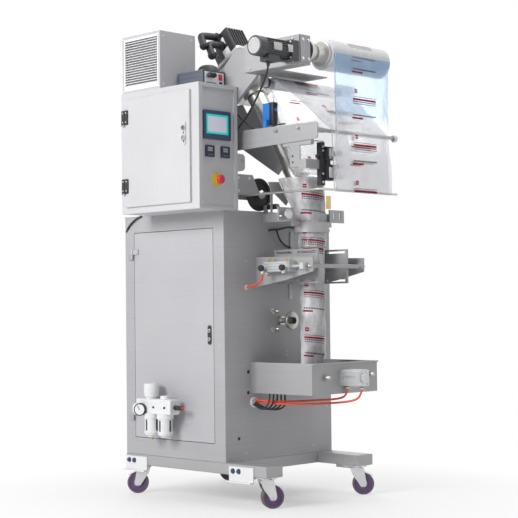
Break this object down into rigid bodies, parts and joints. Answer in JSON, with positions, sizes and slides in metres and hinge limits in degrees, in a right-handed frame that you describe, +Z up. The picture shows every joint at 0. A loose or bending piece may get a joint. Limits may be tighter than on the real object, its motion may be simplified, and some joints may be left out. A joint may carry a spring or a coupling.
{
  "type": "powder packaging machine",
  "caption": "Vertical form-fill-seal machine that doses powder with a sloping screw and seals it in bags from a film roll.",
  "frame": {"origin": "on the floor, under the middle of the machine's overall plan", "axes": "+Z up; the bag side faces -Y and the door side faces -X"},
  "size_m": [0.949, 1.1784, 2.1978],
  "materials": {
    "satin_stainless": "satin",
    "polished_stainless": "polished",
    "pale_grey_paint": "satin",
    "white_plastic": "matte",
    "white_roller": "gloss",
    "dark_plastic": "gloss",
    "black_metal": "satin",
    "black_cable": "matte",
    "red_hose": "gloss",
    "dial_grey": "satin",
    "yellow_plastic": "gloss",
    "red_plastic": "gloss",
    "silver_aluminium": "anodised",
    "zinc": "plated",
    "purple_wheel": "matte",
    "clear_film": "gloss"
  },
  "bodies": {
    "machine": {"base_frame": "satin_stainless", "runner_brackets": "pale_grey_paint", "cabinet": "satin_stainless", "control_box": "pale_grey_paint", "door_hinges": "black_metal", "louvre_box": "pale_grey_paint", "operator_screen": "dark_plastic", "temperature_controllers": "dark_plastic", "stop_ring": "yellow_plastic", "dial_box": "dial_grey", "sensor_box": "pale_grey_paint", "auger_tube": "polished_stainless", "auger_head": "satin_stainless", "servo_motor": "black_metal", "support_column": "satin_stainless", "unwind_arm": "satin_stainless", "gear_motor": "black_metal", "turning_bar": "satin_stainless", "side_arm": "satin_stainless", "roller_axle": "satin_stainless", "film_web": "clear_film", "forming_collar": "polished_stainless", "forming_tube": "polished_stainless", "film_bag": "clear_film", "former_support": "satin_stainless", "collar_braces": "satin_stainless", "date_coder": "black_metal", "coder_bracket": "satin_stainless", "photo_eye": "white_plastic", "handwheel_bracket": "satin_stainless", "clamp_frame": "satin_stainless", "slotted_plates": "satin_stainless", "clamp_cylinder": "silver_aluminium", "seal_tray": "satin_stainless", "tray_cylinder": "silver_aluminium", "rear_jaw": "satin_stainless", "caster_plates": "zinc", "air_hoses": "red_hose", "cables": "black_cable"},
    "cabinet_door": {"cabinet_door": "satin_stainless", "door_lock": "silver_aluminium", "air_unit": "white_plastic"},
    "box_door": {"box_door": "pale_grey_paint", "box_lock": "silver_aluminium"},
    "stop_button": {"stop_button": "red_plastic"},
    "film_roll": {"film_roll": "clear_film", "roll_shaft": "polished_stainless"},
    "guide_roller": {"guide_roller": "white_roller"},
    "handwheel": {"handwheel": "black_metal"},
    "drive_disc": {"drive_disc": "satin_stainless"},
    "front_jaw": {"front_jaw": "satin_stainless"},
    "fork_front_left": {"fork_front_left": "zinc"},
    "wheel_front_left": {"wheel_front_left": "purple_wheel"},
    "fork_rear_left": {"fork_rear_left": "zinc"},
    "wheel_rear_left": {"wheel_rear_left": "purple_wheel"},
    "fork_front_right": {"fork_front_right": "zinc"},
    "wheel_front_right": {"wheel_front_right": "purple_wheel"},
    "fork_rear_right": {"fork_rear_right": "zinc"},
    "wheel_rear_right": {"wheel_rear_right": "purple_wheel"}
  },
  "joints": [
    {"name": "cabinet_door_hinge", "type": "hinge", "parent": "machine", "child": "cabinet_door", "pos_m": [-0.2535, 0.53015, 0.7], "axis": [0, 0, -1], "range_deg": [0, 110]},
    {"name": "box_door_hinge", "type": "hinge", "parent": "machine", "child": "box_door", "pos_m": [-0.4305, 0.36915, 1.57], "axis": [0, 0, -1], "range_deg": [0, 110]},
    {"name": "stop_button_press", "type": "slide", "parent": "machine", "child": "stop_button", "axis": [0, 1, 0], "range_m": [0, 0.004]},
    {"name": "film_roll_spin", "type": "hinge", "parent": "machine", "child": "film_roll", "pos_m": [-0.0595, -0.51985, 1.952], "axis": [1, 0, 0], "continuous": true},
    {"name": "guide_roller_spin", "type": "hinge", "parent": "machine", "child": "guide_roller", "pos_m": [-0.0615, -0.21785, 1.862], "axis": [1, 0, 0], "continuous": true},
    {"name": "handwheel_spin", "type": "hinge", "parent": "machine", "child": "handwheel", "pos_m": [-0.0015, -0.07585, 1.379], "axis": [0, -1, 0], "continuous": true},
    {"name": "drive_disc_spin", "type": "hinge", "parent": "machine", "child": "drive_disc", "pos_m": [0.1035, -0.16285, 0.806], "axis": [0, -1, 0], "continuous": true},
    {"name": "front_jaw_slide", "type": "slide", "parent": "machine", "child": "front_jaw", "axis": [0, 1, 0], "range_m": [0, 0.06]},
    {"name": "swivel_front_left", "type": "hinge", "parent": "machine", "child": "fork_front_left", "pos_m": [-0.1965, -0.27785, 0.05], "axis": [0, 0, 1], "continuous": true},
    {"name": "roll_front_left", "type": "hinge", "parent": "fork_front_left", "child": "wheel_front_left", "pos_m": [-0.16648, -0.29381, 0.05], "axis": [0.4695, 0.8829, 0], "continuous": true},
    {"name": "swivel_rear_left", "type": "hinge", "parent": "machine", "child": "fork_rear_left", "pos_m": [-0.1965, 0.51415, 0.05], "axis": [0, 0, 1], "continuous": true},
    {"name": "roll_rear_left", "type": "hinge", "parent": "fork_rear_left", "child": "wheel_rear_left", "pos_m": [-0.22054, 0.53819, 0.05], "axis": [-0.7071, -0.7071, 0], "continuous": true},
    {"name": "swivel_front_right", "type": "hinge", "parent": "machine", "child": "fork_front_right", "pos_m": [0.4005, -0.27785, 0.05], "axis": [0, 0, 1], "continuous": true},
    {"name": "roll_front_right", "type": "hinge", "parent": "fork_front_right", "child": "wheel_front_right", "pos_m": [0.42454, -0.30189, 0.05], "axis": [0.7071, 0.7071, 0], "continuous": true},
    {"name": "swivel_rear_right", "type": "hinge", "parent": "machine", "child": "fork_rear_right", "pos_m": [0.4005, 0.51415, 0.05], "axis": [0, 0, 1], "continuous": true},
    {"name": "roll_rear_right", "type": "hinge", "parent": "fork_rear_right", "child": "wheel_rear_right", "pos_m": [0.37646, 0.53819, 0.05], "axis": [-0.7071, -0.7071, 0], "continuous": true}
  ]
}
